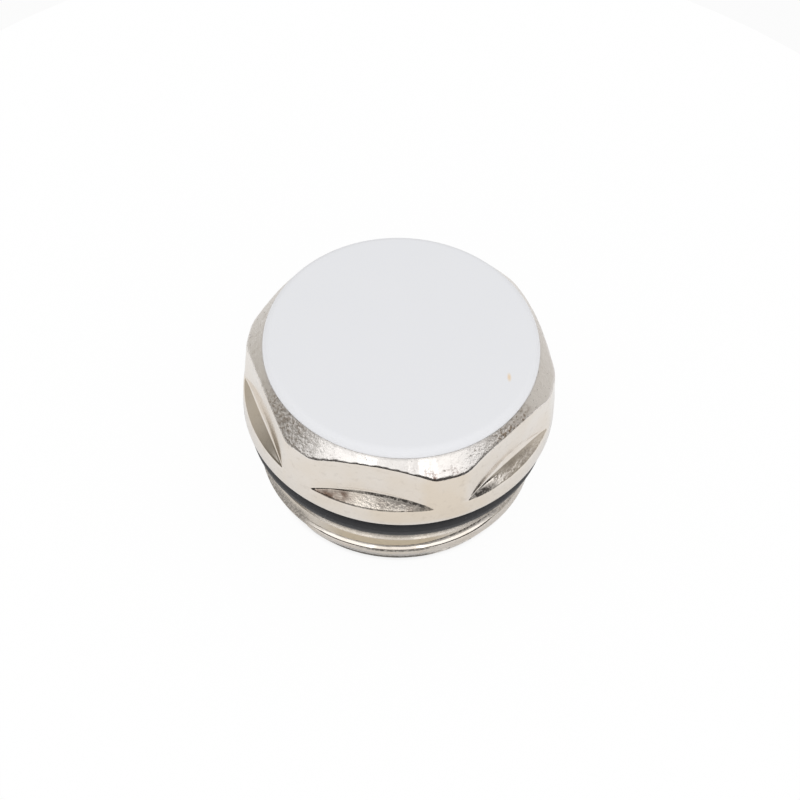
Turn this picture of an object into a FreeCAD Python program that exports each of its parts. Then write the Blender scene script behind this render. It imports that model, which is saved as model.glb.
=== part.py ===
"""Radiator blanking plug: forged hexagon head, O-ring under the flange, snap-in cover cap.

The plug stands on its thread end: Z = 0 is the end face, +Z runs along the axis out through the cap.
Two flats of the hexagon face along Y. Lengths are in millimetres, angles in degrees.
"""
import FreeCAD, Part
import math
import os

import Sketcher

doc = FreeCAD.newDocument("RadiatorBlankingPlug")

# Driving dimensions: alias, value, meaning.
DIMENSIONS = (
    ("across_flats", 22.0, "spanner size"),
    ("flange_overhang", 0.9, "flange rim beyond the middle of each flat"),
    ("rim_height", 1.7, "cylindrical rim of the flange"),
    ("ledge_angle", 45.0, "rise of the conical ledge at the foot of each flat"),
    ("head_height", 6.5, "flange underside to the land that carries the cap"),
    ("corner_draft", 2.0, "taper of the corners towards the chamfer"),
    ("chamfer_drop", 1.5, "height of the top chamfer at the corners"),
    ("land_inset", 0.5, "edge of the land inside the flats"),
    ("thread_diameter", 20.955, "major diameter of the G 1/2 thread"),
    ("thread_length", 4.0, "end face to the neck"),
    ("lead_length", 2.4, "tapered lead at the thread end, along the axis"),
    ("lead_depth", 0.93, "tapered lead at the thread end, off the thread radius"),
    ("neck_diameter", 17.6, "seat of the O-ring"),
    ("neck_wall", 1.8, "wall between the neck and the core"),
    ("web_thickness", 2.7, "floor between the core and the cap recess"),
    ("core_round", 1.0, "rounding at the closed end of the core"),
    ("mouth_chamfer", 0.4, "chamfer at the open end of the core"),
    ("recess_diameter", 15.0, "cap recess in the head"),
    ("recess_depth", 2.8, "cap recess below the land"),
    ("snap_depth", 0.8, "land to the snap bead"),
    ("snap_bead", 0.25, "height of the snap bead"),
    ("ring_section", 2.65, "O-ring section"),
    ("ring_clearance", 0.05, "O-ring to neck and flange"),
    ("groove_play", 0.65, "free width of the neck beside the O-ring"),
    ("cap_side", 0.15, "straight side of the cap's lid"),
    ("cap_edge_round", 0.6, "rounding of the lid's edge"),
    ("cap_crown", 0.2, "dome of the lid"),
    ("spigot_wall", 1.2, "wall of the cap's ring spigot"),
    ("spigot_end_gap", 0.4, "spigot end to the floor of the recess"),
    ("spigot_clearance", 0.05, "spigot and bead to the recess wall"),
)

sheet = doc.addObject("Spreadsheet::Sheet", "Dimensions")
for row, (alias, value, meaning) in enumerate(DIMENSIONS, start=1):
    sheet.set(f"A{row}", meaning)
    sheet.set(f"B{row}", str(value))
    sheet.setAlias(f"B{row}", alias)
doc.recompute()

# Expressions that several sketches share: radii from the axis, heights from the end face.
FLANGE_RADIUS = "(Dimensions.across_flats / 2 + Dimensions.flange_overhang)"
LAND_RADIUS = "(Dimensions.across_flats / 2 - Dimensions.land_inset)"
THREAD_RADIUS = "(Dimensions.thread_diameter / 2)"
NECK_RADIUS = "(Dimensions.neck_diameter / 2)"
CORE_RADIUS = f"({NECK_RADIUS} - Dimensions.neck_wall)"
RECESS_RADIUS = "(Dimensions.recess_diameter / 2)"
SEAT = "(Dimensions.thread_length + Dimensions.ring_section + Dimensions.groove_play)"
RIM_TOP = f"({SEAT} + Dimensions.rim_height)"
LAND = f"({SEAT} + Dimensions.head_height)"
RECESS_FLOOR = f"({LAND} - Dimensions.recess_depth)"
CORE_TOP = f"({RECESS_FLOOR} - Dimensions.web_thickness)"


def new_body(label):
    """An empty body named for its sub-part."""
    body = doc.addObject("PartDesign::Body", label)
    body.Label = label
    return body


def origin_feature(body, role):
    """The plane or axis of the body's own origin that has this role."""
    return next(f for f in body.Origin.OriginFeatures if f.Role == role)


def bind_length(sketch, kind, line, expression):
    """Sets the start point of a line at a bound distance from the sketch origin, along X or Y."""
    index = sketch.addConstraint(Sketcher.Constraint(kind, -1, 1, line, 1, 1.0))
    sketch.setExpression(f"Constraints[{index}]", expression)


def new_sketch(body, name, plane):
    """An empty sketch on one of the body's origin planes."""
    sketch = body.newObject("Sketcher::SketchObject", name)
    sketch.AttachmentSupport = (origin_feature(body, plane), [""])
    sketch.MapMode = "FlatFace"
    return sketch


def outline_sketch(body, name, plane, corners):
    """Closed outline through corners, each a pair of expressions: distance across and height.

    A coordinate that repeats the corner before it makes that side vertical or horizontal, and "0"
    puts the corner on the axis. The lines start as a plain polygon, and the constraints place them.
    """
    sketch = new_sketch(body, name, plane)
    count = len(corners)
    turn = 2 * math.pi / count
    start = [FreeCAD.Vector(math.cos(i * turn), math.sin(i * turn), 0) for i in range(count)]
    for i in range(count):
        sketch.addGeometry(Part.LineSegment(start[i], start[(i + 1) % count]), False)
    for i in range(count):
        sketch.addConstraint(Sketcher.Constraint("Coincident", i, 2, (i + 1) % count, 1))
    directions = (("DistanceX", "Vertical", -2), ("DistanceY", "Horizontal", -1))
    for i, corner in enumerate(corners):
        for place, (distance, level, axis) in enumerate(directions):
            if corner[place] == "0":
                sketch.addConstraint(Sketcher.Constraint("PointOnObject", i, 1, axis))
            elif i and corner[place] == corners[i - 1][place]:
                sketch.addConstraint(Sketcher.Constraint(level, i - 1))
            else:
                bind_length(sketch, distance, i, corner[place])
    return sketch


def turned(body, kind, name, sketch):
    """A full turn of a sketch about the axis: a Revolution adds it, a Groove cuts it."""
    feature = body.newObject(f"PartDesign::{kind}", name)
    feature.Profile = sketch
    feature.ReferenceAxis = (sketch, ["V_Axis"])
    feature.Angle = 360
    doc.recompute()


def round_edge(body, name, radius, height, rounding):
    """Rounds the body's level circular edge of the given radius and height."""
    base = body.Tip
    near = 1e-3
    edges = []
    for number, edge in enumerate(base.Shape.Edges, start=1):
        box = edge.BoundBox
        level = abs(box.ZMin - height) < near and abs(box.ZMax - height) < near
        if level and abs(box.XMax - radius) < near:
            edges.append(f"Edge{number}")
    fillet = body.newObject("PartDesign::Fillet", name)
    fillet.Base = (base, edges)
    fillet.setExpression("Radius", rounding)
    doc.recompute()


# Plug body: forged brass head, turned flange, neck and thread blank.
plug = new_body("plug_body")

# Round head blank with tapered corners and the top chamfer.
CHAMFER_FOOT = f"({LAND} - Dimensions.chamfer_drop)"
CORNER_RADIUS = f"({FLANGE_RADIUS} - ({CHAMFER_FOOT} - {RIM_TOP}) * tan(Dimensions.corner_draft))"
head_blank_outline = outline_sketch(plug, "head_blank_outline", "XZ_Plane", (
    ("0", RIM_TOP),
    (FLANGE_RADIUS, RIM_TOP),
    (CORNER_RADIUS, CHAMFER_FOOT),
    (LAND_RADIUS, LAND),
    ("0", LAND),
))
turned(plug, "Revolution", "head_blank", head_blank_outline)

# One spanner flat, parallel to the axis, sunk into the side of the blank, and its five copies.
FLAT_DISTANCE = "(Dimensions.across_flats / 2)"
CUT_RADIUS = f"({FLANGE_RADIUS} + Dimensions.flange_overhang)"
flat_outline = outline_sketch(plug, "flat_outline", "YZ_Plane", (
    (FLAT_DISTANCE, RIM_TOP),
    (CUT_RADIUS, RIM_TOP),
    (CUT_RADIUS, LAND),
    (FLAT_DISTANCE, LAND),
))
flat = plug.newObject("PartDesign::Pocket", "flat")
flat.Profile = flat_outline
flat.SideType = "Symmetric"
flat.setExpression("Length", f"2 * {FLANGE_RADIUS}")
doc.recompute()

SIDES_OF_HEXAGON = 6
flats = plug.newObject("PartDesign::PolarPattern", "flats")
flats.Originals = [flat]
flats.Axis = (origin_feature(plug, "Z_Axis"), [""])
flats.Angle = 360
flats.Occurrences = SIDES_OF_HEXAGON
plug.Tip = flats
doc.recompute()

# Flange with its conical ledge, neck and thread blank, all in one turning.
LEDGE_TOP = f"({RIM_TOP} + ({FLANGE_RADIUS} - {LAND_RADIUS}) * tan(Dimensions.ledge_angle))"
flange_and_shank_outline = outline_sketch(plug, "flange_and_shank_outline", "XZ_Plane", (
    ("0", "0"),
    (f"({THREAD_RADIUS} - Dimensions.lead_depth)", "0"),
    (THREAD_RADIUS, "Dimensions.lead_length"),
    (THREAD_RADIUS, "Dimensions.thread_length"),
    (NECK_RADIUS, "Dimensions.thread_length"),
    (NECK_RADIUS, SEAT),
    (FLANGE_RADIUS, SEAT),
    (FLANGE_RADIUS, RIM_TOP),
    (LAND_RADIUS, LEDGE_TOP),
    ("0", LEDGE_TOP),
))
turned(plug, "Revolution", "flange_and_shank", flange_and_shank_outline)

# Recess for the cap, with the snap groove in its wall.
SNAP_TOP = f"({LAND} - Dimensions.snap_depth)"
cap_recess_outline = outline_sketch(plug, "cap_recess_outline", "XZ_Plane", (
    ("0", RECESS_FLOOR),
    (RECESS_RADIUS, RECESS_FLOOR),
    (RECESS_RADIUS, f"({SNAP_TOP} - 2 * Dimensions.snap_bead)"),
    (f"({RECESS_RADIUS} + Dimensions.snap_bead)", f"({SNAP_TOP} - Dimensions.snap_bead)"),
    (RECESS_RADIUS, SNAP_TOP),
    (RECESS_RADIUS, LAND),
    ("0", LAND),
))
turned(plug, "Groove", "cap_recess", cap_recess_outline)

# Hollow core from the thread end, chamfered at its mouth and rounded at its closed end.
core_outline = outline_sketch(plug, "core_outline", "XZ_Plane", (
    ("0", "0"),
    (f"({CORE_RADIUS} + Dimensions.mouth_chamfer)", "0"),
    (CORE_RADIUS, "Dimensions.mouth_chamfer"),
    (CORE_RADIUS, CORE_TOP),
    ("0", CORE_TOP),
))
turned(plug, "Groove", "core", core_outline)
seat_height = sheet.thread_length + sheet.ring_section + sheet.groove_play
land_height = seat_height + sheet.head_height
core_height = land_height - sheet.recess_depth - sheet.web_thickness
core_radius = sheet.neck_diameter / 2 - sheet.neck_wall
round_edge(plug, "core_end", core_radius, core_height, "Dimensions.core_round")

# O-ring: stretched on the neck, against the underside of the flange.
ring = doc.addObject("Part::Torus", "o_ring")
ring.Label = "o_ring"
ring.setExpression("Radius1", f"{NECK_RADIUS} + Dimensions.ring_clearance + Dimensions.ring_section / 2")
ring.setExpression("Radius2", "Dimensions.ring_section / 2")
ring.setExpression("Placement.Base.z", f"{SEAT} - Dimensions.ring_clearance - Dimensions.ring_section / 2")

# Cover cap: crowned lid on the land, ring spigot with its bead in the recess.
cap = new_body("cover_cap")
cap.setExpression("Placement.Base.z", LAND)
SPIGOT_RADIUS = f"({RECESS_RADIUS} - Dimensions.spigot_clearance)"
SPIGOT_BORE = f"({SPIGOT_RADIUS} - Dimensions.spigot_wall)"
SPIGOT_END = "(Dimensions.spigot_end_gap - Dimensions.recess_depth)"
LID_SIDE = "(Dimensions.cap_side + Dimensions.cap_edge_round)"
LID_TOP = f"({LID_SIDE} + Dimensions.cap_crown)"

# Lid outline: flat underside, straight side, and a domed top whose arc is centred on the axis.
lid_radius = sheet.across_flats / 2 - sheet.land_inset
lid_side = sheet.cap_side + sheet.cap_edge_round
lid_top = lid_side + sheet.cap_crown
dome_radius = (lid_radius ** 2 + sheet.cap_crown ** 2) / (2 * sheet.cap_crown)
dome = Part.Circle(FreeCAD.Vector(0, lid_top - dome_radius, 0), FreeCAD.Vector(0, 0, 1), dome_radius)
middle = FreeCAD.Vector(0, 0, 0)
rim_foot = FreeCAD.Vector(lid_radius, 0, 0)
rim_top = FreeCAD.Vector(lid_radius, lid_side, 0)
crown_top = FreeCAD.Vector(0, lid_top, 0)
lid_outline = new_sketch(cap, "lid_outline", "XZ_Plane")
lid_outline.addGeometry(Part.LineSegment(middle, rim_foot), False)
lid_outline.addGeometry(Part.LineSegment(rim_foot, rim_top), False)
lid_outline.addGeometry(Part.ArcOfCircle(dome, math.acos(lid_radius / dome_radius), math.pi / 2), False)
lid_outline.addGeometry(Part.LineSegment(crown_top, middle), False)
for side in range(4):
    lid_outline.addConstraint(Sketcher.Constraint("Coincident", side, 2, (side + 1) % 4, 1))
lid_outline.addConstraint(Sketcher.Constraint("Coincident", 0, 1, -1, 1))
lid_outline.addConstraint(Sketcher.Constraint("Horizontal", 0))
lid_outline.addConstraint(Sketcher.Constraint("Vertical", 1))
lid_outline.addConstraint(Sketcher.Constraint("Vertical", 3))
lid_outline.addConstraint(Sketcher.Constraint("PointOnObject", 2, 3, -2))
bind_length(lid_outline, "DistanceX", 1, LAND_RADIUS)
bind_length(lid_outline, "DistanceY", 2, LID_SIDE)
bind_length(lid_outline, "DistanceY", 3, LID_TOP)
turned(cap, "Revolution", "lid", lid_outline)
round_edge(cap, "lid_edge", lid_radius, lid_side, "Dimensions.cap_edge_round")

# Ring spigot under the lid.
spigot_outline = outline_sketch(cap, "spigot_outline", "XZ_Plane", (
    (SPIGOT_BORE, "0"),
    (SPIGOT_BORE, SPIGOT_END),
    (SPIGOT_RADIUS, SPIGOT_END),
    (SPIGOT_RADIUS, "(-Dimensions.snap_depth - 2 * Dimensions.snap_bead)"),
    (f"({SPIGOT_RADIUS} + Dimensions.snap_bead)", "(-Dimensions.snap_depth - Dimensions.snap_bead)"),
    (SPIGOT_RADIUS, "(-Dimensions.snap_depth)"),
    (SPIGOT_RADIUS, "0"),
))
turned(cap, "Revolution", "spigot", spigot_outline)
doc.recompute()

SUB_PARTS = (plug, ring, cap)
for item in doc.Objects:
    if "Invalid" in item.State or "Error" in item.State:
        raise RuntimeError(f"{item.Label} failed: {item.State}")
for sub_part in SUB_PARTS:
    if sub_part.Shape.isNull() or not sub_part.Shape.isValid() or len(sub_part.Shape.Solids) != 1:
        raise RuntimeError(f"{sub_part.Label} is not one valid solid")

os.makedirs("parts", exist_ok=True)
for sub_part in SUB_PARTS:
    box = sub_part.Shape.BoundBox
    print(sub_part.Label, f"volume {sub_part.Shape.Volume:.2f} Z {box.ZMin:.3f} to {box.ZMax:.3f}")
    sub_part.Shape.exportStep(f"parts/{sub_part.Label}.step")
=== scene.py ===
import math

import bmesh
import bpy
import numpy as np
from mathutils import Matrix, Vector


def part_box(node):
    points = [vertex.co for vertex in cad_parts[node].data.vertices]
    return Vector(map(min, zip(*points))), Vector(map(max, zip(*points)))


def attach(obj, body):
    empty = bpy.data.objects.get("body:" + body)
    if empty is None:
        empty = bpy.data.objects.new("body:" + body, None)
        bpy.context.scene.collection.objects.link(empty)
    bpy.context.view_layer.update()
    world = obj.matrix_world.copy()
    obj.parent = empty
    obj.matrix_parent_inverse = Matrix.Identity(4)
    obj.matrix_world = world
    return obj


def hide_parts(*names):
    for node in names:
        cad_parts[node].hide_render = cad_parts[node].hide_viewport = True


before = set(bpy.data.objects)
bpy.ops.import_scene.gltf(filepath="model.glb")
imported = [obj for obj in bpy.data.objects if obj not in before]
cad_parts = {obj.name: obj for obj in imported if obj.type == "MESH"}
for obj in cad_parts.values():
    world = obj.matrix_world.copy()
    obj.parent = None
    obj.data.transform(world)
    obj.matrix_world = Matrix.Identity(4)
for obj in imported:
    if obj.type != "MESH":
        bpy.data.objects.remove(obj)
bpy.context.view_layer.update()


# Plug body: brass, hot-forged to a hexagon head on a round flange, then turned and threaded, and
# nickel plated all over. It is one piece, hollow from the thread end and sunk at the top for the cap.
# Sizes are in millimetres. Spans round the body are in radians to the right of the side facing the camera.
MM = 0.001
COLUMNS = 480
turn = np.linspace(-math.pi, math.pi, COLUMNS, endpoint=False)
level = np.ones(COLUMNS)
CAMERA_TURN = math.radians(8.5)
FRONT_TURN = CAMERA_TURN - math.pi / 2
past_front = turn - FRONT_TURN


def soft_min(a, b, width):
    """The smaller of two radii with a rounded crease: where they differ by less than the width, a
    parabola that passes a quarter of the width inside the crease."""
    near = np.clip(1 - np.abs(a - b) / np.maximum(width, 1e-9), 0, None)
    return np.minimum(a, b) - width * near ** 2 / 4


def soft_max(a, b, width):
    """The larger of two radii, rounded in the same way on the outer side of the crease."""
    return -soft_min(-a, -b, width)


def ease(value, low, high):
    """A share that climbs from 0 at low to 1 at high along a cubic with level ends."""
    share = np.clip((value - low) / (high - low), 0, 1)
    return share * share * (3 - 2 * share)


def between(value, rise, fall):
    """A share that climbs from 0 to 1 over the rise and back to 0 over the fall, each given by two limits."""
    return ease(value, *rise) * (1 - ease(value, *fall))


def steps(knots, counts):
    """Rows of heights that pass from each knot to the next in equal steps, the last knot left out."""
    spans = zip(knots, knots[1:], counts)
    return np.concatenate([np.linspace(a, b, count, endpoint=False) for a, b, count in spans])


# Head: at each height the radius is the flat or the turned corner, whichever is less, cut by the top
# chamfer, and never less than the flange with the conical ledge on its rim.
body_low, body_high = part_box("plug_body")
FLANGE_RADIUS = min(body_high.x, body_high.y, -body_low.x, -body_low.y) / MM
LAND = body_high.z / MM
LAND_RADIUS = 10.5
SEAT = 7.3
RIM_TOP = SEAT + 1.7
HALF_ACROSS_FLATS = 11.0
FLAT_TURN = 2 * math.pi / 6
CORNER_DRAFT = math.tan(math.radians(2))
CHAMFER_FOOT = LAND - 1.5
CORNER_RADIUS = FLANGE_RADIUS - (CHAMFER_FOOT - RIM_TOP) * CORNER_DRAFT
CHAMFER_SLOPE = (CORNER_RADIUS - LAND_RADIUS) / (LAND - CHAMFER_FOOT)
CORNER_BLEND = 0.16
FLAT_SWELL = 0.05
FOOT_CROWN = 0.6
TOP_CROWN = 1.7
WANDER_DEPTH = 0.4
WANDER_WAVES = ((0.008, 5, 0.4), (0.005, 17, 2.1), (0.005, 43, 4.4), (0.006, 89, 1.3))
flat_angle = (turn + math.pi / 2 + FLAT_TURN / 2) % FLAT_TURN - FLAT_TURN / 2
wander = sum(size * np.sin(waves * turn + phase) for size, waves, phase in WANDER_WAVES)


def head_side(height):
    """Radius of the flats and corners: the flat's distance over the cosine of the turn from its middle,
    against the corner circle, which narrows with height. The flat is crowned a little by polishing: it
    falls off with the square of the turn, more so towards the top."""
    share = (height - RIM_TOP) / (LAND - RIM_TOP)
    crown = FLAT_SWELL * share - (FOOT_CROWN + (TOP_CROWN - FOOT_CROWN) * share) * flat_angle ** 2
    corner = FLANGE_RADIUS - (height - RIM_TOP) * CORNER_DRAFT
    return soft_min((HALF_ACROSS_FLATS + crown) / np.cos(flat_angle), corner, CORNER_BLEND)


def chamfer_cone(height):
    """Radius of the top chamfer: it widens from the edge of the land, with a slight tool wander."""
    return LAND_RADIUS + (LAND - height) * CHAMFER_SLOPE + wander * ease(LAND - height, 0, WANDER_DEPTH)


# The lines where the flats meet the chamfer and the ledge settle after a few rounds, in which the last
# height found gives the next. Rows of points lie closest at these two lines and at the rim's edge.
LINE_ROUNDS = 6
chamfer_line = np.full(COLUMNS, CHAMFER_FOOT)
ledge_line = np.full(COLUMNS, RIM_TOP)
for _ in range(LINE_ROUNDS):
    chamfer_line = LAND - (head_side(chamfer_line) - LAND_RADIUS) / CHAMFER_SLOPE
    ledge_line = RIM_TOP + FLANGE_RADIUS - head_side(ledge_line)

EDGE_ZONE = 0.26
VALLEY_ZONE = 0.3
RIM_ZONE = 0.12
ZONE_GAP = 0.05
RIM_ROUND = 0.14
HEAD_ROWS = (8, 14, 8, 12, 5, 8, 4)
valley = np.maximum(ledge_line, RIM_TOP + RIM_ZONE + VALLEY_ZONE + ZONE_GAP)
head_height = steps(
    (
        LAND * level, chamfer_line + EDGE_ZONE, chamfer_line - EDGE_ZONE, valley + VALLEY_ZONE,
        valley - VALLEY_ZONE, (RIM_TOP + RIM_ZONE) * level, (RIM_TOP - RIM_ZONE) * level,
        (SEAT + RIM_ROUND) * level,
    ),
    HEAD_ROWS,
)

# The chamfer's edge is worn unevenly. The valley over a ledge is round where the ledge is wide, and
# roundest under the flat on the right.
EDGE_CREASE = 0.15
EDGE_WEAR = 28
VALLEY_CREASE = 0.24
SOFT_VALLEY = 1.2
SOFT_FLAT = ((0.36, 0.4), (1.4, 1.45))
RIM_CREASE = 0.14
flange = soft_min(FLANGE_RADIUS, FLANGE_RADIUS - (head_height - RIM_TOP), RIM_CREASE)
edge_crease = EDGE_CREASE * (1 + EDGE_WEAR * wander)
hexagon = soft_min(head_side(head_height), chamfer_cone(head_height), edge_crease)
ledge_width = FLANGE_RADIUS - head_side(RIM_TOP)
softness = 1 + SOFT_VALLEY * between(past_front, *SOFT_FLAT)
valley_crease = VALLEY_CREASE * softness * (np.maximum(ledge_width, 0) / ledge_width.max()) ** 2
head_radius = np.minimum(soft_max(flange, hexagon, valley_crease), FLANGE_RADIUS)

# Plate on the chamfer: coarse except near the front, cobbled over the flats on the left and right, and
# scratched in its lower half at the corner to the right of the front. The cobbles also carry painted shade,
# and both are stronger in the lower half on the right.
MARK_EDGE = (-0.05, 0.05)
FRONT_COARSE = 0.15
COARSE_RISE = (0.03, 0.34)
LOWER_HALF = (0.35, 0.8)
LEFT_COBBLES = ((-1.3, -1.0), (-0.8, -0.55))
RIGHT_COBBLES = ((0.62, 0.86), (1.0, 1.2))
RIGHT_COBBLE_LEVEL = 1.2
LOW_COBBLE_LEVEL = 0.5
SCRATCHED = ((0.02, 0.2), (0.34, 0.55))
chamfer_share = ease(head_height - chamfer_line, *MARK_EDGE)
off_front = ease(1 - np.cos(past_front), *COARSE_RISE)
coarse_share = chamfer_share * (FRONT_COARSE + (1 - FRONT_COARSE) * off_front)
low_share = ease((LAND - head_height) / (LAND - chamfer_line), *LOWER_HALF)
right_cobble_and_shade = RIGHT_COBBLE_LEVEL * between(past_front, *RIGHT_COBBLES) * (1 + LOW_COBBLE_LEVEL * low_share)
cobble_and_shade_share = chamfer_share * (right_cobble_and_shade + between(past_front, *LEFT_COBBLES))
scratch_share = low_share * chamfer_share * between(past_front, *SCRATCHED)

# Plate on the flats and ledges: dimpled on every ledge but the left one, stained at both ends of the
# front ledge, and creamier on the front flat, its right corner and the rim below.
FRONT_FLAT = ((-0.75, -0.6), (0.42, 0.52))
FRONT_CORNER = ((0.15, 0.24), (0.44, 0.52))
FRONT_RIM = ((-0.3, -0.05), (0.5, 0.75))
RIM_FALL = (-0.1, 0.1)
PLAIN_CREAM = 0.1
FLAT_CREAM = 0.14
CORNER_CREAM = 0.56
LEDGE_RISE = (0.02, 0.2)
TIP_RISE = (0.02, 0.1)
LIP_RISE = (-0.08, 0.02)
DIMPLE_RISE = (0.08, 0.25)
LEFT_STAIN = ((-0.72, -0.62), (-0.34, -0.25))
RIGHT_STAIN = ((-0.04, 0.24), (0.3, 0.4))
LEFT_STAIN_LEVEL = 0.92
RIGHT_STAIN_LEVEL = 0.5
above_rim = head_height - RIM_TOP
below_valley = ledge_line - head_height
has_ledge = ease(ledge_width, *LEDGE_RISE)
has_tip = ease(ledge_width, *TIP_RISE)
on_ledge = ease(below_valley, *MARK_EDGE) * ease(above_rim, *LIP_RISE)
dimpled = ease(below_valley, *DIMPLE_RISE) * ease(above_rim, *MARK_EDGE)
ledge_share = dimpled * has_ledge * ease(past_front, *FRONT_FLAT[0])
left_stain = LEFT_STAIN_LEVEL * between(past_front, *LEFT_STAIN)
right_stain = RIGHT_STAIN_LEVEL * between(past_front, *RIGHT_STAIN)
stain_share = on_ledge * has_tip * np.maximum(left_stain, right_stain)
front_rim = between(past_front, *FRONT_RIM) * (1 - ease(above_rim, *RIM_FALL))
corner_or_rim = np.maximum(between(past_front, *FRONT_CORNER), front_rim)
cream_share = PLAIN_CREAM + FLAT_CREAM * between(past_front, *FRONT_FLAT) + CORNER_CREAM * corner_or_rim

# Painted shade on the head, standing in for the shade of creases and for dark reflections: thin dark lines at
# the cap's edge, in the front ledge's valley and on its lip, and dark tips where the front ledge ends and the
# right one begins.
CAP_LINE_WIDTH = 0.09
CAP_LINE_LEVEL = 0.2
VALLEY_SHADE_SPAN = ((-0.4, -0.1), (0.24, 0.3))
VALLEY_FALL = (0.09, 0.15)
LIP_SHADE_SPAN = ((-0.5, -0.4), (-0.1, 0.1))
LIP_FALL = (0.02, 0.06)
LIP_LEVEL = 0.8
FRONT_TIP = ((0.1, 0.2), (0.3, 0.36))
FRONT_TIP_LEVEL = 0.75
RIGHT_TIP = ((0.49, 0.57), (0.62, 0.76))
RIGHT_TIP_FALL = (0.2, 0.5)
RIGHT_TIP_LEVEL = 1.15
cap_line = CAP_LINE_LEVEL * np.exp(-((head_height - LAND) / CAP_LINE_WIDTH) ** 2)
valley_line = between(past_front, *VALLEY_SHADE_SPAN) * has_ledge * (1 - ease(np.abs(below_valley), *VALLEY_FALL))
lip_line = between(past_front, *LIP_SHADE_SPAN) * has_ledge * (1 - ease(np.abs(above_rim), *LIP_FALL))
front_tip = between(past_front, *FRONT_TIP) * has_tip * on_ledge
right_tip = between(past_front, *RIGHT_TIP) * on_ledge * (1 - ease(above_rim, *RIGHT_TIP_FALL))
head_painted_shade = np.max([
    cap_line, valley_line, LIP_LEVEL * lip_line, FRONT_TIP_LEVEL * front_tip, RIGHT_TIP_LEVEL * right_tip,
], axis=0)

# Thread: a right-hand V groove of the pipe thread's pitch and angle, cut into the blank with its
# tapered lead. It climbs past the front below a plain collar and runs out into the collar on the right.
THREAD_RADIUS = 10.4775
THREAD_TOP = 4.0
COLLAR_EDGE_HEIGHT = 0.44
COLLAR_EDGE_DEPTH = 0.37
COLLAR_EDGE = THREAD_TOP - COLLAR_EDGE_HEIGHT
LEAD_LENGTH = 1.7
LEAD_DEPTH = 0.9
LEAD_CREASE = 0.05
END_EDGE_DEPTH = 0.05
END_EDGE_SLOPE = 1.5
END_CREASE = 0.06
END_ZONE = 0.1
THREAD_ROWS = (10, 78, 4)
PITCH = 1.814
HALF_ANGLE_SLOPE = math.tan(math.radians(27.5))
CREST_HEIGHT = 2.15
CREST_TURN = FRONT_TURN + math.radians(4)
CREST_START = FRONT_TURN - math.radians(37)
CREST_BEVEL = 0.9
BEVEL_HEIGHT = 0.27
CREST_STEP = 0.08
STEP_SPAN = ((0, 0.04), (2, 3.5))
GROOVE_WIDTH = 0.7
COLLAR_RISE = 0.45
COLLAR_END = (math.radians(5), math.radians(42))
RUN_OUT = (math.radians(35), math.radians(85))
FAR_SIDE = (2.5, 3.5)
BEVEL_SPAN = ((-0.78, -0.44), FAR_SIDE)
SECOND_LAP_CUT = 0.1
ROOT_ROUND = 0.1
CREST_ROUND = 0.08
thread_height = steps((THREAD_TOP * level, COLLAR_EDGE * level, END_ZONE * level, 0.0 * level), THREAD_ROWS)
thread_height = np.vstack([thread_height, 0 * level])
above_crest = thread_height - CREST_HEIGHT - PITCH * (turn - CREST_TURN) / (2 * math.pi)
before_crest = (CREST_START - turn) % (2 * math.pi)


def groove_depth(above, width):
    """How deep the groove is at a height above its crest: the crest's bevel or the V's lower side,
    whichever is deeper, up to the V's upper side, which leaves the surface a width above the crest.
    Left of the front and on the far side the bevel starts higher, and so is lost in the V."""
    bevel = CREST_BEVEL * (above - BEVEL_HEIGHT * (1 - between(past_front, *BEVEL_SPAN)))
    lower = (above - BEVEL_HEIGHT) / HALF_ANGLE_SLOPE + CREST_BEVEL * BEVEL_HEIGHT
    return soft_min(np.maximum(bevel, lower), (width - above) / HALF_ANGLE_SLOPE, ROOT_ROUND)


collar_gap = GROOVE_WIDTH + COLLAR_RISE * ease(past_front, *COLLAR_END)
first_lap = groove_depth(above_crest, collar_gap) - ease(past_front, *RUN_OUT)
lap_cut = SECOND_LAP_CUT * (1 - ease(past_front, *FAR_SIDE))
second_lap = groove_depth(above_crest + PITCH, GROOVE_WIDTH) + lap_cut
groove = THREAD_RADIUS - np.maximum(first_lap, second_lap)
# To the left of the place where the crest starts, the lead lies a small step deeper.
lead_step = CREST_STEP * between(before_crest, *STEP_SPAN)
lead = THREAD_RADIUS - LEAD_DEPTH * (1 - thread_height / LEAD_LENGTH) - lead_step
top_edge = THREAD_RADIUS + (COLLAR_EDGE - thread_height) * COLLAR_EDGE_DEPTH / COLLAR_EDGE_HEIGHT
end_edge = THREAD_RADIUS - LEAD_DEPTH - END_EDGE_DEPTH + END_EDGE_SLOPE * thread_height
turned = soft_min(soft_min(THREAD_RADIUS, lead, LEAD_CREASE), end_edge, END_CREASE)
blank = np.minimum(turned, top_edge)
thread_radius = soft_min(blank, groove, CREST_ROUND)
thread_depth = blank - thread_radius

# Painted shade in the thread, in a dark colour: in the groove's root and in its lower lap, under the crest
# and on the lead at the front, on the collar's edge, and in a patch each on the left and the right of the
# collar. It stands in for the shadow in the groove and under the O-ring, and for the shaded floor mirrored in
# the lead.
FACING_RISE = (-0.2, 0.2)
ROOT_RISE = (0.2, 0.36)
ROOT_LEVEL = 0.85
UNDER_CREST = ((-0.16, -0.08), (-0.02, 0.04))
UNDER_CREST_SPAN = ((-0.3, -0.1), (0.2, 0.4))
UNDER_CREST_LEVEL = 0.9
RIGHT_PATCH = (0.6, 0.85)
RIGHT_PATCH_RISE = (2.45, 2.75)
RIGHT_PATCH_LEVEL = 0.5
LEFT_PATCH = (-0.74, -0.58)
LEFT_PATCH_BAND = ((1.6, 2.0), (2.9, 3.5))
LEFT_PATCH_LEVEL = 0.6
LEAD_SHADE_SPAN = ((-0.6, -0.35), (0.25, 0.42))
LEAD_SHADE_FALL = (0.6, 1.0)
EDGE_RISE = (THREAD_TOP - 0.46, THREAD_TOP - 0.44)
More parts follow.
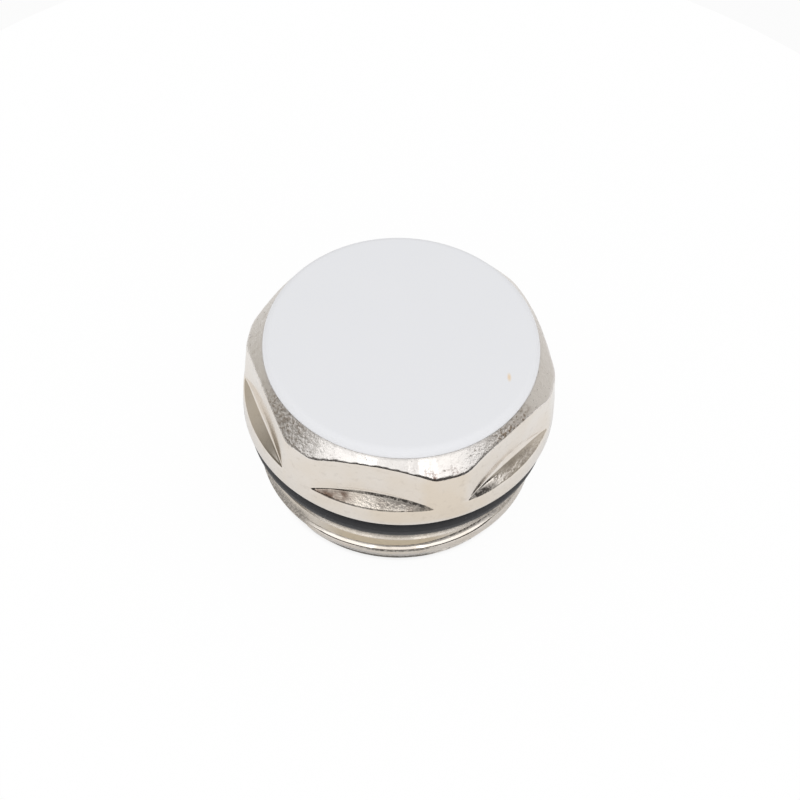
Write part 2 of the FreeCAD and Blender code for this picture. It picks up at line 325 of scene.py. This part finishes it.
EDGE_DARKENING = (THREAD_TOP - 0.36, THREAD_TOP - 0.22)
EDGE_LEVEL = 0.2
DARK_EDGE_LEVEL = 0.3
LAP_RISE = (0.04, 0.14)
LAP_TOP = (1.3, 1.6)
LAP_START = (-0.9, -0.6)
LAP_FADE = (0.1, 0.4)
LAP_LEVEL = 0.6
LAP_LOSS = 0.6
facing = ease(np.cos(past_front), *FACING_RISE)
root_share = ROOT_LEVEL * ease(thread_depth, *ROOT_RISE)
under_crest = UNDER_CREST_LEVEL * between(above_crest, *UNDER_CREST) * between(past_front, *UNDER_CREST_SPAN)
right_patch = RIGHT_PATCH_LEVEL * ease(past_front, *RIGHT_PATCH) * ease(thread_height, *RIGHT_PATCH_RISE)
left_patch = LEFT_PATCH_LEVEL * (1 - ease(past_front, *LEFT_PATCH)) * between(thread_height, *LEFT_PATCH_BAND)
lead_share = between(past_front, *LEAD_SHADE_SPAN) * (1 - ease(thread_height, *LEAD_SHADE_FALL))
on_edge = ease(thread_height, *EDGE_RISE)
edge_share = (EDGE_LEVEL + DARK_EDGE_LEVEL * ease(thread_height, *EDGE_DARKENING)) * on_edge
lap_share = LAP_LEVEL * ease(thread_depth, *LAP_RISE) * (1 - ease(thread_height, *LAP_TOP))
lap_share = lap_share * ease(past_front, *LAP_START) * (1 - LAP_LOSS * ease(past_front, *LAP_FADE))
facing_share = facing * np.max([right_patch, left_patch, edge_share, lap_share], axis=0)
thread_painted_shade = np.max([root_share, under_crest, lead_share, facing_share], axis=0)

# Tint on the thread: the plate is a little creamy all over. The plain collar has an olive painted reflection
# of the shaded floor, most of all at the front and least on the collar's edge.
THREAD_CREAM = 0.13
OLIVE_RISE = (2.3, 2.8)
OLIVE_DEPTH_FALL = (0.05, 0.2)
OLIVE_FRONT = ((-0.6, -0.3), (0.25, 0.5))
OLIVE_LEAST = 0.25
OLIVE_EDGE_LOSS = 0.8
olive_reflection_share = ease(thread_height, *OLIVE_RISE) * (1 - ease(thread_depth, *OLIVE_DEPTH_FALL))
olive_reflection_share = olive_reflection_share * (1 - OLIVE_EDGE_LOSS * on_edge)
olive_reflection_share = olive_reflection_share * (OLIVE_LEAST + (1 - OLIVE_LEAST) * between(past_front, *OLIVE_FRONT))


def all_round(corners):
    """Rows that are the same all round: radius and height of each corner, carried about the axis."""
    radius, height = np.array(corners, float).T
    return np.tile(radius[:, None], COLUMNS), np.tile(height[:, None], COLUMNS)


def arc(centre, radius, start, end, count):
    """Points of a circular arc in the section, from the start to the end angle in degrees."""
    angle = np.radians(np.linspace(start, end, count))
    return list(zip(centre[0] + radius * np.cos(angle), centre[1] + radius * np.sin(angle)))


# Recess, neck and core: plain turned profiles. The corners in the middle of a level face keep the
# shading of the rounds beside it from spreading over the face.
RECESS_RADIUS = 7.5
RECESS_FLOOR = LAND - 2.8
SNAP_TOP = LAND - 0.8
SNAP_BEAD = 0.25
LAND_BORDERS = (LAND_RADIUS - 0.3, LAND_RADIUS - 0.05)
NECK_RADIUS = 8.8
NECK_FILLET = 0.2
SEAT_MIDDLE = 10.5
COLLAR_MIDDLE = 9.6
COLLAR_BORDER = THREAD_RADIUS - 0.4
CORE_RADIUS = 7.0
CORE_TOP = 8.3
CORE_ROUND = 1.0
CORE_MIDDLE = 3.0
MOUTH_CHAMFER = 0.4
END_MIDDLE = 9.0
recess_rows = all_round([
    (0, RECESS_FLOOR), (RECESS_RADIUS, RECESS_FLOOR), (RECESS_RADIUS, SNAP_TOP - 2 * SNAP_BEAD),
    (RECESS_RADIUS + SNAP_BEAD, SNAP_TOP - SNAP_BEAD), (RECESS_RADIUS, SNAP_TOP), (RECESS_RADIUS, LAND),
    (LAND_BORDERS[0], LAND), (LAND_BORDERS[1], LAND),
])
fillet_middle = NECK_RADIUS + NECK_FILLET
neck_rows = all_round(
    arc((FLANGE_RADIUS - RIM_ROUND, SEAT + RIM_ROUND), RIM_ROUND, 0, -90, 6)
    + [(SEAT_MIDDLE, SEAT)]
    + arc((fillet_middle, SEAT - NECK_FILLET), NECK_FILLET, 90, 180, 4)
    + arc((fillet_middle, THREAD_TOP + NECK_FILLET), NECK_FILLET, 180, 270, 4)
    + [(COLLAR_MIDDLE, THREAD_TOP), (COLLAR_BORDER, THREAD_TOP)]
)
core_rows = all_round(
    [(END_MIDDLE, 0), (CORE_RADIUS + MOUTH_CHAMFER, 0), (CORE_RADIUS, MOUTH_CHAMFER)]
    + arc((CORE_RADIUS - CORE_ROUND, CORE_TOP - CORE_ROUND), CORE_ROUND, 0, 90, 7)
    + [(CORE_MIDDLE, CORE_TOP), (0, CORE_TOP)]
)
SHARP_ANGLE = math.radians(35)
MERGE_DISTANCE = 1e-8


def turned_piece(name, bands, marks):
    """A piece made of rows round the axis: point (row, column) stands at the row's radius and height and
    the column's turn, and each four neighbours make a face. Rows on the axis and doubled rows merge."""
    radius = np.vstack([band[0] for band in bands])
    height = np.vstack([band[1] for band in bands])
    points = np.stack([radius * np.cos(turn), radius * np.sin(turn), height], axis=-1) * MM
    index = np.arange(radius.size).reshape(radius.shape)
    beside = np.roll(index, -1, axis=1)
    faces = np.stack([index[:-1], index[1:], beside[1:], beside[:-1]], axis=-1)
    mesh = bpy.data.meshes.new(name)
    mesh.from_pydata(points.reshape(-1, 3), [], faces.reshape(-1, 4))
    for mark, values in marks.items():
        attribute = mesh.attributes.new(mark, "FLOAT", "POINT")
        attribute.data.foreach_set("value", values.ravel().astype(np.float32))
    shell = bmesh.new()
    shell.from_mesh(mesh)
    bmesh.ops.remove_doubles(shell, verts=shell.verts, dist=MERGE_DISTANCE)
    shell.to_mesh(mesh)
    shell.free()
    mesh.shade_smooth()
    mesh.set_sharp_from_angle(angle=SHARP_ANGLE)
    piece = bpy.data.objects.new(name, mesh)
    bpy.context.scene.collection.objects.link(piece)
    return piece


MARKS = ("chamfer", "coarse", "cobble_and_shade", "scratch", "ledge", "stain", "cream", "olive_reflection", "painted_shade")
body_bands = {
    "recess": recess_rows, "head": (head_radius, head_height), "neck": neck_rows,
    "thread": (thread_radius, thread_height), "core": core_rows,
}
band_marks = {
    "head": {
        "chamfer": chamfer_share, "coarse": coarse_share, "cobble_and_shade": cobble_and_shade_share, "scratch": scratch_share,
        "ledge": ledge_share, "stain": stain_share, "cream": cream_share, "painted_shade": head_painted_shade,
    },
    "thread": {"cream": THREAD_CREAM, "olive_reflection": olive_reflection_share, "painted_shade": thread_painted_shade},
}


def body_mark(mark):
    """A mark's share at each point of the body: the band's own share, or 0 on a band without the mark."""
    return np.vstack([
        np.zeros_like(height) + band_marks.get(band, {}).get(mark, 0)
        for band, (_, height) in body_bands.items()
    ])


plug_body = turned_piece("plug_body_plated", body_bands.values(), {mark: body_mark(mark) for mark in MARKS})


class Wire:
    """One output socket of a node tree. Arithmetic on wires adds Math nodes, and node() any other node."""

    def __init__(self, tree, socket=None):
        self.tree = tree
        self.socket = socket

    def node(self, kind, settings, sockets, output=0):
        """Adds a node: its settings first, then a value or a wire for each socket named."""
        made = self.tree.nodes.new(kind)
        for name, value in settings.items():
            setattr(made, name, value)
        self.fill(made, sockets)
        return Wire(self.tree, made.outputs[output])

    def fill(self, made, sockets):
        """Sets or links sockets of a node, found by identifier or name."""
        for key, value in sockets.items():
            socket = next(s for s in made.inputs if key in (s.identifier, s.name))
            if isinstance(value, Wire):
                self.tree.links.new(value.socket, socket)
            else:
                socket.default_value = value

    def maths(self, operation, a, b):
        """A number worked out from two others, each a wire or a plain number."""
        return self.node("ShaderNodeMath", {"operation": operation}, {"Value": a, "Value_001": b})

    def __add__(self, other):
        return self.maths("ADD", self, other)

    def __sub__(self, other):
        return self.maths("SUBTRACT", self, other)

    def __rsub__(self, other):
        return self.maths("SUBTRACT", other, self)

    def __mul__(self, other):
        return self.maths("MULTIPLY", self, other)

    __radd__ = __add__
    __rmul__ = __mul__

    def vector(self, operation, sockets, output=0):
        """A vector, or the number called Value, worked out from vectors."""
        return self.node("ShaderNodeVectorMath", {"operation": operation}, sockets, output)

    def along(self, way):
        """How far this vector reaches along a way: their scalar product."""
        return self.vector("DOT_PRODUCT", {"Vector": self, "Vector_001": way}, "Value")

    def eased(self, low, high):
        """A share that climbs from 0 at low to 1 at high with level ends."""
        sockets = {"Value": self, "From Min": low, "From Max": high}
        return self.node("ShaderNodeMapRange", {"interpolation_type": "SMOOTHSTEP"}, sockets)

    def blend(self, share, first, second):
        """A colour that passes from the first to the second with the share."""
        sockets = {"Factor_Float": share, "A_Color": first, "B_Color": second}
        return self.node("ShaderNodeMix", {"data_type": "RGBA"}, sockets, output=2)

    def noise(self, place, grain, detail=2.0):
        """A noise whose spots are about a grain wide, in millimetres, at a place in metres."""
        sockets = {"Vector": place, "Scale": 1 / (grain * MM), "Detail": detail}
        return self.node("ShaderNodeTexNoise", {}, sockets)

    def bump(self, height, depth):
        """A normal turned by a height map whose full range is a depth in millimetres."""
        sockets = {"Height": height, "Distance": depth * MM, "Strength": 1.0}
        return self.node("ShaderNodeBump", {}, sockets)


def new_finish(name):
    """A material, its shader node and a wire to start from."""
    material = bpy.data.materials.new(name)
    material.use_nodes = True
    tree = material.node_tree
    return material, tree.nodes["Principled BSDF"], Wire(tree)


NICKEL = (0.785, 0.742, 0.697, 1)
CREAM_NICKEL = (0.735, 0.652, 0.55, 1)
CHAMFER_NICKEL = (0.8, 0.775, 0.755, 1)
# Olive: a painted reflection of the shaded floor on the collar. Scuff: wear, and painted shade on the
# cobbles. The darkest colour: painted shade.
OLIVE_REFLECTION = (0.6, 0.5, 0.355, 1)
SCUFF_AND_SHADE = (0.3, 0.24, 0.19, 1)
SCRATCH = (0.2, 0.13, 0.11, 1)
STAIN = (0.15, 0.1, 0.075, 1)
PAINTED_SHADE_COLOUR = (0.045, 0.038, 0.032, 1)
PIT = (0.2, 0.17, 0.14, 1)
PLATE_RELIEF = 0.03


def nickel_finish():
    """Nickel plate over brass: satin on flats and rim, coarse and pitted on the chamfer and ledges, with an
    olive painted reflection on the thread's collar. Each layer of tint, wear, stain, painted reflection and
    painted shade is blended over the one before by its mark times a noise, and the same marks raise the
    roughness and the relief."""
    material, shader, wire = new_finish("nickel_plate")
    place = wire.node("ShaderNodeTexCoord", {}, {}, output="Object")
    chamfer, coarse, cobble_and_shade, scratch, ledge, stain, cream, olive_reflection, painted_shade = (
        wire.node("ShaderNodeAttribute", {"attribute_name": mark}, {}, output="Fac") for mark in MARKS
    )
    flat_place = wire.vector("MULTIPLY", {"Vector": place, "Vector_001": (1, 1, 0)})
    way_out = wire.vector("NORMALIZE", {"Vector": flat_place})
    on_circle = wire.vector("SCALE", {"Vector": way_out, "Scale": LAND_RADIUS * MM})

    grain = wire.noise(place, 0.17)
    fine = wire.noise(place, 0.06, detail=3.0)
    cloud = wire.noise(place, 2.6, detail=4.0)
    patch = wire.noise(place, 0.9)
    cells = wire.noise(place, 0.3, detail=1.0)
    dimples = wire.noise(place, 0.22)
    pits = wire.noise(place, 0.22, detail=1.0).eased(0.69, 0.77)
    scuffs = wire.noise(place, 0.5, detail=4.0).eased(0.55, 0.72)
    chatter = wire.noise(on_circle, 0.28)
    lines = wire.noise(on_circle, 0.09).eased(0.48, 0.62)

    warm = cloud.eased(0.3, 0.7) * 0.4 + cream - chamfer * 0.6
    clean = wire.blend(warm, NICKEL, CREAM_NICKEL)
    bright = wire.blend(chamfer * 0.8, clean, CHAMFER_NICKEL)
    # The olive layer is a painted reflection of the shaded floor.
    with_olive_reflection = wire.blend(olive_reflection * 0.85, bright, OLIVE_REFLECTION)
    # Scuffs are wear; the cobble share also darkens the plate as painted shade.
    worn_and_shaded = scuffs * 0.12 + cobble_and_shade * (0.2 + cells.eased(0.5, 0.62) * 0.45)
    scuffed_and_shaded = wire.blend(worn_and_shaded, with_olive_reflection, SCUFF_AND_SHADE)
    hatch = (lines * 0.5 + grain.eased(0.45, 0.58)) * patch.eased(0.38, 0.55)
    scratched = wire.blend(scratch * hatch * 0.7, scuffed_and_shaded, SCRATCH)
    soiled = ledge * patch.eased(0.45, 0.65) * 0.25 + stain * (0.42 + patch.eased(0.3, 0.6) * 0.36)
    stained = wire.blend(soiled, scratched, STAIN)
    # The darkest layer is painted shade: in creases, in the groove, under the O-ring, and as dark
    # reflections.
    with_painted_shade = wire.blend(painted_shade * (0.6 + grain.eased(0.35, 0.6) * 0.5), stained, PAINTED_SHADE_COLOUR)
    pitted = wire.blend(pits * (chamfer + ledge) * 0.6, with_painted_shade, PIT)

    roughness = 0.06 + ledge * 0.08 + chamfer * 0.04 + coarse * 0.2 + fine * 0.1 + painted_shade * 0.4
    plate = (grain + fine * 0.3) * (0.03 + coarse * 0.9)
    relief = plate + dimples * ledge * 0.9 + chatter * coarse * patch * 0.6
    relief = relief + cells * cobble_and_shade * 1.6 - pits * coarse * 0.4
    wire.fill(shader, {
        "Base Color": pitted, "Metallic": 1 - painted_shade * 0.7, "Roughness": roughness,
        "Normal": wire.bump(relief, PLATE_RELIEF),
    })
    return material


plug_body.data.materials.append(nickel_finish())
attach(plug_body, "root")
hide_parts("plug_body")


# O-ring: moulded black rubber, stretched on the neck against the underside of the flange. The mould
# leaves a fine parting ridge round its widest line.
ring_low, ring_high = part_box("o_ring")
RING_RADIUS = (ring_high.z - ring_low.z) / 2 / MM
RING_HEIGHT = (ring_high.z + ring_low.z) / 2 / MM
RING_CENTRE = ring_high.y / MM - RING_RADIUS
RING_ROWS = 97
RIDGE_HEIGHT = 0.02
RIDGE_WIDTH = 0.06
section = np.linspace(math.pi, -math.pi, RING_ROWS)[:, None]
ridge = RIDGE_HEIGHT * np.exp(-(np.sin(section) * RING_RADIUS / RIDGE_WIDTH) ** 2) * (np.cos(section) > 0)
swell = RING_RADIUS - RIDGE_HEIGHT + ridge
ring_rows = (
    np.tile(RING_CENTRE + swell * np.cos(section), COLUMNS),
    np.tile(RING_HEIGHT + swell * np.sin(section), COLUMNS),
)
o_ring = turned_piece("o_ring_rubber", [ring_rows], {})

RUBBER_DARK = (0.01, 0.01, 0.012, 1)
RUBBER_PALE = (0.02, 0.02, 0.023, 1)
DUST = (0.2, 0.2, 0.2, 1)
RUBBER_RELIEF = 0.004


def rubber_finish():
    """Black rubber: dull, faintly mottled, with a little pale dust in sparse specks."""
    material, shader, wire = new_finish("black_rubber")
    place = wire.node("ShaderNodeTexCoord", {}, {}, output="Object")
    mottle = wire.noise(place, 0.8, detail=4.0)
    skin = wire.noise(place, 0.05, detail=3.0)
    dust = wire.noise(place, 0.16, detail=1.0).eased(0.72, 0.8)
    black = wire.blend(mottle, RUBBER_DARK, RUBBER_PALE)
    wire.fill(shader, {
        "Base Color": wire.blend(dust * 0.35, black, DUST), "Roughness": 0.36 + mottle * 0.16,
        "Specular IOR Level": 0.35, "Normal": wire.bump(skin, RUBBER_RELIEF),
    })
    return material


o_ring.data.materials.append(rubber_finish())
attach(o_ring, "root")
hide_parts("o_ring")


# Cover cap: white plastic, injection moulded. A crowned lid with a rounded edge covers the land, and a
# ring spigot with a bead under it snaps into the recess of the head.
cap_low, cap_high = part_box("cover_cap")
LID_RADIUS = min(cap_high.x, cap_high.y) / MM
LID_TOP = cap_high.z / MM
CROWN = 0.2
DOME_START = 89.9
LID_EDGE_ROUND = 0.6
LID_FOOT_CHAMFER = 0.04
LID_FOOT_BORDER = 0.3
SPIGOT_END = cap_low.z / MM
SPIGOT_RADIUS = RECESS_RADIUS - 0.05
SPIGOT_BORE = SPIGOT_RADIUS - 1.2
dome_radius = (LID_RADIUS ** 2 + CROWN ** 2) / (2 * CROWN)
dome_centre = LID_TOP - dome_radius
# The edge arc touches the side from inside and the dome from below.
edge_middle = LID_RADIUS - LID_EDGE_ROUND
edge_height = dome_centre + math.sqrt((dome_radius - LID_EDGE_ROUND) ** 2 - edge_middle ** 2)
dome_end = math.degrees(math.atan2(edge_height - dome_centre, edge_middle))
lid_rows = all_round(
    [(0, LID_TOP)]
    + arc((0, dome_centre), dome_radius, DOME_START, dome_end, 26)
    + arc((edge_middle, edge_height), LID_EDGE_ROUND, dome_end, 0, 18)[1:]
    + [(LID_RADIUS, LAND + LID_FOOT_CHAMFER), (LID_RADIUS - LID_FOOT_CHAMFER, LAND)]
    + [(LID_RADIUS - LID_FOOT_BORDER, LAND)]
)
spigot_rows = all_round([
    (SPIGOT_RADIUS, LAND), (SPIGOT_RADIUS, SNAP_TOP), (SPIGOT_RADIUS + SNAP_BEAD, SNAP_TOP - SNAP_BEAD),
    (SPIGOT_RADIUS, SNAP_TOP - 2 * SNAP_BEAD), (SPIGOT_RADIUS, SPIGOT_END), (SPIGOT_BORE, SPIGOT_END),
    (SPIGOT_BORE, LAND), (0, LAND),
])
cover_cap = turned_piece("cover_cap_moulded", [lid_rows, spigot_rows], {})

COOL_WHITE = (0.735, 0.742, 0.765, 1)
PALE_WHITE = (0.75, 0.754, 0.774, 1)
SPECK = (0.76, 0.57, 0.36, 1)
SPECK_PLACE = (8.55 * MM, -1.66 * MM, 0)
SPECK_TURN = math.radians(14)
SPECK_SIZE = (0.18 * MM, 0.46 * MM, 1)
PLASTIC_RELIEF = 0.0015


def plastic_finish():
    """White plastic: satin gloss with a faint flow mottle, and one amber speck of dirt near the rim,
    which fades with the distance from its middle in lengths of its own size."""
    material, shader, wire = new_finish("white_plastic")
    place = wire.node("ShaderNodeTexCoord", {}, {}, output="Object")
    flow = wire.noise(place, 4.0, detail=3.0)
    skin = wire.noise(place, 0.12, detail=3.0)
    in_speck = wire.node("ShaderNodeMapping", {"vector_type": "TEXTURE"}, {
        "Vector": place, "Location": SPECK_PLACE, "Rotation": (0, 0, SPECK_TURN), "Scale": SPECK_SIZE,
    })
    flat_place = wire.vector("MULTIPLY", {"Vector": in_speck, "Vector_001": (1, 1, 0)})
    speck = 1 - wire.vector("LENGTH", {"Vector": flat_place}, "Value").eased(0.1, 1.2)
    white = wire.blend(flow, COOL_WHITE, PALE_WHITE)
    wire.fill(shader, {
        "Base Color": wire.blend(speck * 0.85, white, SPECK), "Roughness": 0.38 + skin * 0.08,
        "Specular IOR Level": 0.35, "Normal": wire.bump(skin, PLASTIC_RELIEF),
    })
    return material


cover_cap.data.materials.append(plastic_finish())
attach(cover_cap, "root")
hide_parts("cover_cap")


# Floor: a pale matt table under the plug, which reads as white and keeps the plug's shadow, deepened as
# painted shade close to the plug's foot. In the metal's reflections it is white only away from the plug's
# foot, a painted shadow round it.
FLOOR_RADIUS = 0.055
FLOOR_CORNERS = 96
FLOOR_DROP = 0.01 * MM
TABLE_COLOUR = (0.93, 0.93, 0.93, 1)
WHITE = (1, 1, 1, 1)
FOOT_EDGE = (9.5 * MM, 9.95 * MM)
FOOT_LIFT = 0.75
OPEN_LIFT = 0.2
MIRROR_RISE = (10 * MM, 22 * MM)
MIRROR_LIFT = 0.5
rim_turn = np.linspace(0, 2 * math.pi, FLOOR_CORNERS, endpoint=False)
floor_points = np.stack([
    FLOOR_RADIUS * np.cos(rim_turn), FLOOR_RADIUS * np.sin(rim_turn), np.full(FLOOR_CORNERS, -FLOOR_DROP)
], axis=-1)
floor_mesh = bpy.data.meshes.new("floor")
floor_mesh.from_pydata(floor_points, [], [list(range(FLOOR_CORNERS))])
floor = bpy.data.objects.new("floor", floor_mesh)
bpy.context.scene.collection.objects.link(floor)
floor_material, floor_shader, floor_wire = new_finish("pale_table")
floor_wire.fill(floor_shader, {"Base Color": TABLE_COLOUR, "Roughness": 0.9, "Specular IOR Level": 0.0})
camera_ray, glossy_ray, transmission_ray = (
    floor_wire.node("ShaderNodeLightPath", {}, {}, output=f"Is {kind} Ray")
    for kind in ("Camera", "Glossy", "Transmission")
)
floor_place = floor_wire.node("ShaderNodeTexCoord", {}, {}, output="Object")
off_axis = floor_wire.vector("LENGTH", {"Vector": floor_place}, "Value")
# Close to the foot the floor is lifted less towards white: painted shade round the foot.
seen_lift = (camera_ray + transmission_ray) * (FOOT_LIFT + off_axis.eased(*FOOT_EDGE) * OPEN_LIFT)
# To glossy rays the floor glows only away from the foot: a painted shadow in reflections.
mirrored_lift = glossy_ray * off_axis.eased(*MIRROR_RISE) * MIRROR_LIFT
lifted = floor_wire.node("ShaderNodeMixShader", {}, {
    "Fac": seen_lift + mirrored_lift,
    "Shader": Wire(floor_material.node_tree, floor_shader.outputs[0]),
    "Shader_001": floor_wire.node("ShaderNodeEmission", {}, {"Color": WHITE, "Strength": 1.0}),
})
floor_wire.fill(floor_material.node_tree.nodes["Material Output"], {"Surface": lifted})
floor_mesh.materials.append(floor_material)


# Studio: a white tent above and behind, with the darker room showing as a low band at the front and
# sides, and an arc of three soft lamps at the front. To the camera itself the surroundings are white.
TENT_LEVEL = 0.97
ROOM_AHEAD = (0.045, 0.04, 0.036, 1)
ROOM_BESIDE_LAMPS = (0.52, 0.49, 0.45, 1)
ROOM_LEFT = (0.19, 0.177, 0.15, 1)
ROOM_RIGHT = (0.34, 0.32, 0.285, 1)
ROOM_LEFT_BEHIND = (0.55, 0.52, 0.465, 1)
ROOM_RIGHT_BEHIND = (0.66, 0.63, 0.585, 1)
ROOM_FOOT = (-0.6, -0.4)
ROOM_TOP = (0.33, 0.42)
ROOM_RISE_AHEAD = 0.18
RIGHT_RISE = (-0.4, 0.4)
LAMP_LEAN = 0.14
AHEAD_RISE = (0.5, 0.56)
SIDE_RISE = (-0.35, 0.25)
SPILL_RISE = (0.36, 0.53)
TENT_FRONT = (0.9, 0.9, 0.9, 1)
TENT_FRONT_FOOT = (0.57, 0.63)
TENT_FRONT_TOP = (0.82, 0.92)
TENT_FRONT_RISE = (0.3, 0.5)
TENT_OPENING = (0.35, 0.35, 0.35, 1)
OPENING_RISE = (0.9, 0.98)
OPENING_TURN = CAMERA_TURN + 0.2
OPENING_REACH = 0.72
OPENING_HEIGHT = 0.69
front = (math.sin(CAMERA_TURN), -math.cos(CAMERA_TURN), 0)
right = (math.cos(CAMERA_TURN), math.sin(CAMERA_TURN), 0)
opening = (math.sin(OPENING_TURN) * OPENING_REACH, -math.cos(OPENING_TURN) * OPENING_REACH, OPENING_HEIGHT)
world = bpy.data.worlds.new("studio")
world.use_nodes = True
bpy.context.scene.world = world
tent = Wire(world.node_tree)
aim = tent.node("ShaderNodeTexCoord", {}, {}, output="Generated")
mirror_ray = tent.node("ShaderNodeLightPath", {}, {}, output="Is Glossy Ray")
forward = aim.along(front)
upward = aim.along((0, 0, 1))
rightward = aim.along(right).eased(*RIGHT_RISE)
lampward = forward + rightward * LAMP_LEAN
ahead = lampward.eased(*AHEAD_RISE)
low = upward.eased(*ROOM_FOOT) * (1 - (upward - ahead * ROOM_RISE_AHEAD).eased(*ROOM_TOP))
behind = tent.blend(rightward, ROOM_LEFT_BEHIND, ROOM_RIGHT_BEHIND)
beside = tent.blend(rightward, ROOM_LEFT, ROOM_RIGHT)
side_room = tent.blend(forward.eased(*SIDE_RISE), behind, beside)
spill = tent.blend(lampward.eased(*SPILL_RISE), side_room, ROOM_BESIDE_LAMPS)
room = tent.blend(ahead, spill, ROOM_AHEAD)
tent_band = upward.eased(*TENT_FRONT_FOOT) * (1 - upward.eased(*TENT_FRONT_TOP))
shaded = tent.blend(tent_band * forward.eased(*TENT_FRONT_RISE), WHITE, TENT_FRONT)
darker = tent.blend(aim.along(opening).eased(*OPENING_RISE), shaded, TENT_OPENING)
mirrored = tent.blend(low, darker, room)
tent.fill(world.node_tree.nodes["Background"], {
    "Color": tent.blend(mirror_ray, WHITE, mirrored), "Strength": TENT_LEVEL,
})

LAMP_DISTANCE = 0.6
LAMP_ELEVATION = math.radians(27)
LAMP_HEIGHT = 0.14
LAMPS = ((-35, 0.388, 1.36), (2, 0.388, 1.16), (41.5, 0.47, 1.36))
for lamp_turn, width, radiance in LAMPS:
    lamp_data = bpy.data.lights.new("softbox", "AREA")
    lamp_data.shape = "RECTANGLE"
    lamp_data.size = width
    lamp_data.size_y = LAMP_HEIGHT
    lamp_data.energy = radiance * math.pi * width * LAMP_HEIGHT
    lamp = bpy.data.objects.new("softbox", lamp_data)
    level_way = Matrix.Rotation(math.radians(lamp_turn), 3, "Z") @ Vector(front)
    lamp_way = level_way * math.cos(LAMP_ELEVATION) + Vector((0, 0, math.sin(LAMP_ELEVATION)))
    lamp.location = lamp_way * LAMP_DISTANCE
    lamp.rotation_euler = lamp_way.to_track_quat("Z", "Y").to_euler()
    lamp.visible_camera = False
    bpy.context.scene.collection.objects.link(lamp)


# Camera: a long lens from above the front, a little to the right of the flat's middle. It is aimed
# near the middle of the flange's seat and rolled slightly, as the photograph is.
CAMERA_ELEVATION = math.radians(52.1)
CAMERA_ROLL = math.radians(3.06)
CAMERA_DISTANCE = 357 * MM
SENSOR_WIDTH = 36
FOCAL_LENGTH = 209.6
AIM_RIGHT = 0.119 * MM
AIM_UP = 0.054 * MM
camera_data = bpy.data.cameras.new("camera")
camera_data.sensor_width = SENSOR_WIDTH
camera_data.lens = FOCAL_LENGTH
camera_data.clip_start = 0.01
camera_data.clip_end = 10
camera = bpy.data.objects.new("camera", camera_data)
bpy.context.scene.collection.objects.link(camera)
away = Vector(front) * math.cos(CAMERA_ELEVATION) + Vector((0, 0, math.sin(CAMERA_ELEVATION)))
tilt = away.to_track_quat("Z", "Y").to_matrix() @ Matrix.Rotation(CAMERA_ROLL, 3, "Z")
target = Vector((0, 0, SEAT * MM)) + tilt.col[0] * AIM_RIGHT + tilt.col[1] * AIM_UP
camera.matrix_world = Matrix.Translation(target + away * CAMERA_DISTANCE) @ tilt.to_4x4()
bpy.context.scene.camera = camera
bpy.context.scene.view_settings.view_transform = "Standard"
